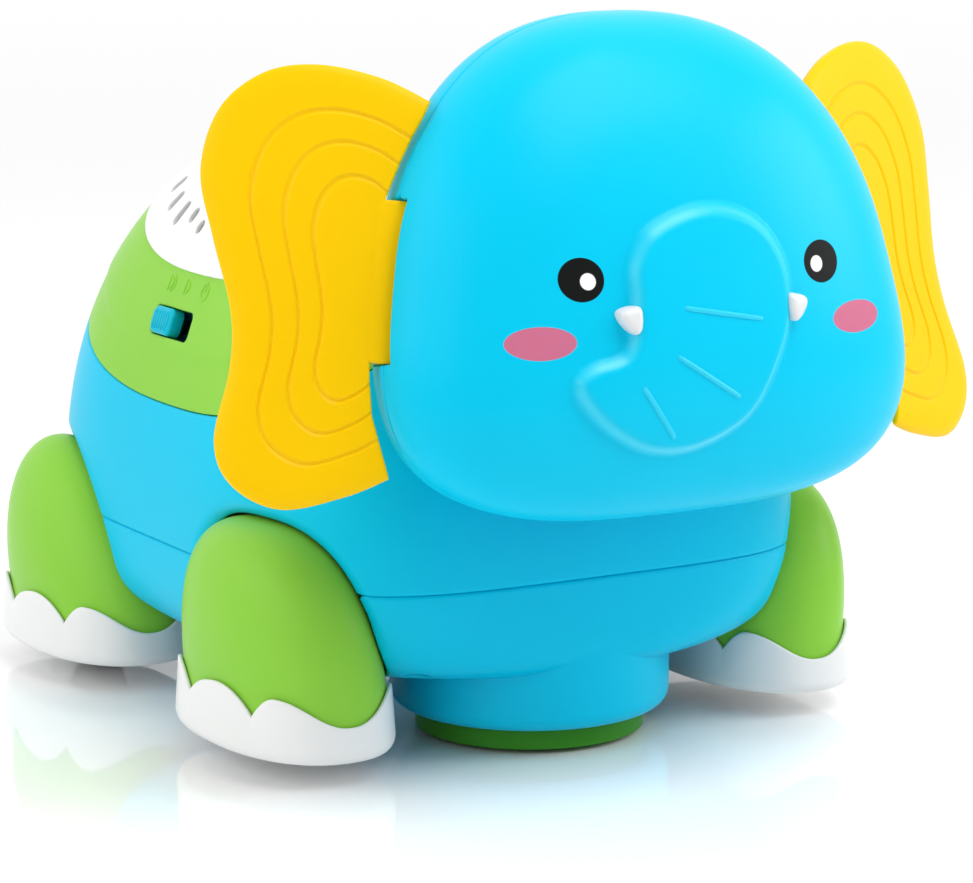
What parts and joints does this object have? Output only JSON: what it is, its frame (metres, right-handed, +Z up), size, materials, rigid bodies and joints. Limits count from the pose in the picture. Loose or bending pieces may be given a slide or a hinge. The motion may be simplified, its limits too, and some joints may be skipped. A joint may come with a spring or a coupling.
{
  "type": "toy elephant",
  "caption": "Rolling toy elephant with swinging ears, a flank slide switch and a motor that drives wheels on a swivelling turntable under its chest.",
  "frame": {"origin": "on the floor, under the centre of the outline", "axes": "faces -Y, +Z up, +X is the elephant's left"},
  "size_m": [0.1962, 0.219, 0.1677],
  "materials": {
    "blue_shell": "glossy moulded",
    "green_shell": "glossy moulded",
    "white_plastic": "glossy moulded",
    "yellow_ear": "satin moulded",
    "blue_knob": "ribbed moulded",
    "green_disc": "satin moulded",
    "steel": "plated",
    "grey_plastic": "plain moulded",
    "speaker_black": "paper cone and frame",
    "board": "lacquered board",
    "cell": "sleeved",
    "brass": "plated spring strip",
    "gear_white": "plain moulded",
    "tyre_rubber": "matt"
  },
  "bodies": {
    "elephant": {"head_front": "blue_shell", "head_back": "blue_shell", "tusks": "white_plastic", "neck_plate": "grey_plastic", "neck_screws": "steel", "head_screws": "steel", "body_upper": "blue_shell", "body_lower": "blue_shell", "body_screws": "steel", "saddle": "green_shell", "speaker_grille": "white_plastic", "speaker": "speaker_black", "slide_switch": "grey_plastic", "main_board": "board", "battery_box": "grey_plastic", "battery_cells": "cell", "battery_contacts": "brass", "battery_door": "blue_shell", "battery_door_screw": "steel", "leg_front_left": "green_shell", "leg_front_right": "green_shell", "leg_rear_left": "green_shell", "leg_rear_right": "green_shell", "leg_screws": "steel", "shoe_front_left": "white_plastic", "shoe_front_right": "white_plastic", "shoe_rear_left": "white_plastic", "shoe_rear_right": "white_plastic", "roller_pins": "steel", "gearbox_housing": "grey_plastic", "gearbox_cover": "grey_plastic", "gearbox_screws": "steel", "motor": "steel", "reduction_pin": "steel"},
    "ear_left": {"ear_left": "yellow_ear"},
    "ear_right": {"ear_right": "yellow_ear"},
    "switch_knob": {"switch_knob": "blue_knob"},
    "turntable": {"turntable": "green_disc", "turntable_cover": "grey_plastic", "turntable_clip": "steel"},
    "drive_wheels": {"wheel_axle": "steel", "crown_gear": "gear_white", "wheel_left": "gear_white", "wheel_right": "gear_white", "tyre_left": "tyre_rubber", "tyre_right": "tyre_rubber"},
    "drive_shaft": {"drive_shaft": "gear_white"},
    "reduction_gear": {"reduction_gear": "gear_white"},
    "motor_pinion": {"motor_pinion": "gear_white"},
    "roller_left": {"roller_left": "grey_plastic"},
    "roller_right": {"roller_right": "grey_plastic"}
  },
  "joints": [
    {"name": "ear_right_swing", "type": "hinge", "parent": "elephant", "child": "ear_right", "pos_m": [-0.05594, -0.07582, 0.11285], "axis": [0.193, 0.1766, 0.9652], "range_deg": [-18, 25]},
    {"name": "ear_left_swing", "type": "hinge", "parent": "elephant", "child": "ear_left", "pos_m": [0.05594, -0.07582, 0.11285], "axis": [0.193, -0.1766, -0.9652], "range_deg": [-18, 25]},
    {"name": "switch_slide", "type": "slide", "parent": "elephant", "child": "switch_knob", "axis": [0, -1, 0], "range_m": [0, 0.009]},
    {"name": "turntable_swivel", "type": "hinge", "parent": "elephant", "child": "turntable", "pos_m": [0, -0.03068, 0], "axis": [0, 0, 1], "continuous": true},
    {"name": "wheel_spin", "type": "hinge", "parent": "turntable", "child": "drive_wheels", "pos_m": [0, -0.03068, 0.008], "axis": [1, 0, 0], "continuous": true},
    {"name": "shaft_spin", "type": "hinge", "parent": "elephant", "child": "drive_shaft", "pos_m": [0, -0.03068, 0], "axis": [0, 0, 1], "continuous": true},
    {"name": "reduction_spin", "type": "hinge", "parent": "elephant", "child": "reduction_gear", "pos_m": [0, -0.01868, 0], "axis": [0, 0, 1], "continuous": true},
    {"name": "motor_spin", "type": "hinge", "parent": "elephant", "child": "motor_pinion", "pos_m": [0, -0.00668, 0], "axis": [0, 0, 1], "continuous": true},
    {"name": "roller_left_spin", "type": "hinge", "parent": "elephant", "child": "roller_left", "pos_m": [0.062, 0.07552, 0.01], "axis": [1, 0, 0], "continuous": true},
    {"name": "roller_right_spin", "type": "hinge", "parent": "elephant", "child": "roller_right", "pos_m": [-0.062, 0.07552, 0.01], "axis": [1, 0, 0], "continuous": true}
  ],
  "couplings": [
    {"joint": "shaft_spin", "follows": "wheel_spin", "ratio": 1.8},
    {"joint": "reduction_spin", "follows": "wheel_spin", "ratio": -4.2},
    {"joint": "motor_spin", "follows": "wheel_spin", "ratio": 12.6}
  ]
}
